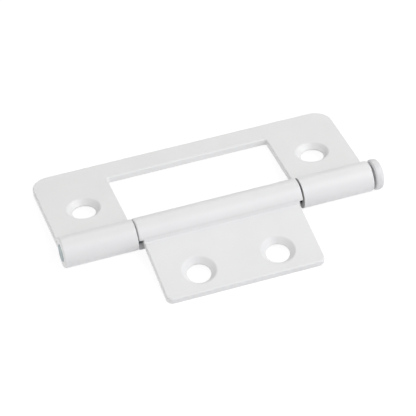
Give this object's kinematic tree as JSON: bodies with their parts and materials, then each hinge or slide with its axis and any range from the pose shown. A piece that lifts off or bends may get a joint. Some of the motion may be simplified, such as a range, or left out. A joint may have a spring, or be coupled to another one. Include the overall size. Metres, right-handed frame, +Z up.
{
  "type": "non-mortise hinge",
  "caption": "White non-mortise hinge: a windowed outer leaf and a small inner leaf that nests in the window, both curled round one headed pin.",
  "frame": {"origin": "under the middle of the open hinge, on the surface that it lies on", "axes": "+X along the pin towards its head, +Y towards the outer leaf, +Z up out of the countersunk faces"},
  "size_m": [0.079, 0.0506, 0.0076],
  "materials": {
    "leaf_coating": "satin white powder coat on stamped steel",
    "pin_finish": "white coated button head on a bare zinc plated shank"
  },
  "bodies": {
    "outer": {"outer_leaf": "leaf_coating", "hinge_pin": "pin_finish"},
    "inner": {"inner_leaf": "leaf_coating"}
  },
  "joints": [
    {"name": "leaf_swing", "type": "hinge", "parent": "outer", "child": "inner", "pos_m": [-0.0013, -0.004, 0.00378], "axis": [-1, 0, 0], "range_deg": [-165.94, 194.06]}
  ]
}
